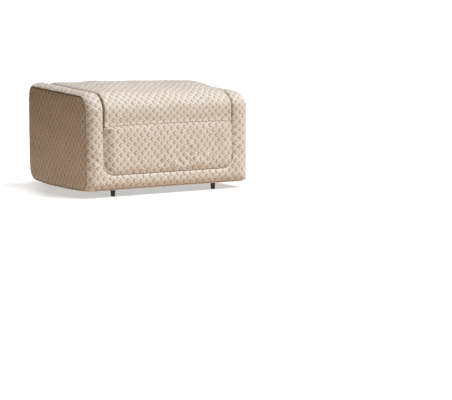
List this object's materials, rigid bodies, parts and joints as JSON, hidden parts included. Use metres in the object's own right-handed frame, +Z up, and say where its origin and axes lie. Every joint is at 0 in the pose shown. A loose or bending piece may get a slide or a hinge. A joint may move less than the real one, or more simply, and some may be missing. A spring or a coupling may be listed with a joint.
{
  "type": "ottoman sleeper",
  "caption": "Padded ottoman with rounded arms that unfolds on swing links into a single bed in mattress sections on folding leg hoops.",
  "frame": {"origin": "on the floor, under the centre of the closed ottoman's box", "axes": "+X across the width towards the ottoman's left arm as it faces forwards, front along -Y, +Z up"},
  "size_m": [0.98, 0.708, 0.5678],
  "materials": {
    "cover": "woven jacquard in tan and cream on a grey-beige ground",
    "ticking": "plain cream mattress ticking with sewn tufts",
    "frame_steel": "fine textured dark grey powder coat",
    "zinc": "bright zinc plate",
    "plywood": "birch plywood with layered edges",
    "beech": "lacquered beech slats",
    "rubber": "matt black moulded rubber",
    "dark_wood": "dark stained turned wood"
  },
  "bodies": {
    "base": {"feet": "dark_wood", "base_side_rails": "frame_steel", "base_cross_rails": "frame_steel", "base_end_caps": "rubber", "base_buffers": "rubber", "base_link_brackets": "frame_steel", "base_link_pins": "zinc", "left_arm_board": "plywood", "right_arm_board": "plywood", "left_arm_pad": "cover", "right_arm_pad": "cover", "arm_bolts": "zinc", "front_apron_board": "plywood", "front_apron_pad": "cover", "front_hinge_lower": "frame_steel", "front_hinge_pin": "zinc", "back_board": "plywood", "back_pad": "cover", "back_brackets": "frame_steel"},
    "front_links": {"front_link_bars": "frame_steel", "front_link_tube": "frame_steel"},
    "rear_links": {"rear_link_bars": "frame_steel", "rear_link_tube": "frame_steel"},
    "head_section": {"head_side_rails": "frame_steel", "head_cross_tubes": "frame_steel", "head_end_caps": "rubber", "head_slats": "beech", "head_mattress": "ticking", "head_link_lugs": "frame_steel", "head_link_pins": "zinc", "head_hinge_plates": "frame_steel", "head_hinge_pins": "zinc"},
    "middle_section": {"middle_side_rails": "frame_steel", "middle_cross_tubes": "frame_steel", "middle_end_caps": "rubber", "middle_slats": "beech", "middle_mattress": "ticking", "middle_hinge_plates": "frame_steel", "middle_leg_pins": "zinc"},
    "foot_section": {"foot_side_rails": "frame_steel", "foot_cross_tubes": "frame_steel", "foot_end_caps": "rubber", "foot_slats": "beech", "foot_mattress": "ticking", "foot_hinge_plates": "frame_steel", "foot_hinge_pins": "zinc", "foot_leg_pins": "zinc"},
    "middle_legs": {"middle_leg_hoop": "frame_steel", "middle_leg_glides": "rubber"},
    "foot_legs": {"foot_leg_hoop": "frame_steel", "foot_leg_glides": "rubber"},
    "front_panel": {"front_panel_board": "plywood", "front_panel_pad": "cover", "front_hinge_upper": "frame_steel"},
    "seat": {"seat_cushion": "cover"}
  },
  "joints": [
    {"name": "link_swing", "type": "hinge", "parent": "base", "child": "front_links", "pos_m": [0, -0.21035, 0.082], "axis": [1, 0, 0], "range_deg": [0, 60]},
    {"name": "rear_link_swing", "type": "hinge", "parent": "base", "child": "rear_links", "pos_m": [0, 0.07965, 0.082], "axis": [1, 0, 0], "range_deg": [0, 60]},
    {"name": "head_level", "type": "hinge", "parent": "front_links", "child": "head_section", "pos_m": [0, -0.06, 0.13672], "axis": [1, 0, 0], "range_deg": [-60, 0]},
    {"name": "middle_fold", "type": "hinge", "parent": "head_section", "child": "middle_section", "pos_m": [0, -0.292, 0.259], "axis": [1, 0, 0], "range_deg": [0, 180]},
    {"name": "foot_fold", "type": "hinge", "parent": "middle_section", "child": "foot_section", "pos_m": [0, 0.318, 0.372], "axis": [1, 0, 0], "range_deg": [-180, 0]},
    {"name": "middle_leg_fold", "type": "hinge", "parent": "middle_section", "child": "middle_legs", "pos_m": [0, 0.2725, 0.3615], "axis": [1, 0, 0], "range_deg": [-90, 0]},
    {"name": "foot_leg_fold", "type": "hinge", "parent": "foot_section", "child": "foot_legs", "pos_m": [0, -0.2585, 0.3825], "axis": [1, 0, 0], "range_deg": [-90, 0]},
    {"name": "panel_drop", "type": "hinge", "parent": "base", "child": "front_panel", "pos_m": [0, -0.338, 0.1229], "axis": [1, 0, 0], "range_deg": [0, 114]},
    {"name": "seat_lift", "type": "slide", "parent": "foot_section", "child": "seat", "axis": [0, 0, 1], "range_m": [0, 0.25]}
  ],
  "couplings": [
    {"joint": "rear_link_swing", "follows": "link_swing", "ratio": 1},
    {"joint": "head_level", "follows": "link_swing", "ratio": -1},
    {"joint": "middle_fold", "follows": "link_swing", "ratio": 3},
    {"joint": "foot_fold", "follows": "link_swing", "ratio": -3},
    {"joint": "middle_leg_fold", "follows": "link_swing", "ratio": -1.5},
    {"joint": "foot_leg_fold", "follows": "link_swing", "ratio": -1.5},
    {"joint": "panel_drop", "follows": "link_swing", "ratio": 1.9}
  ]
}
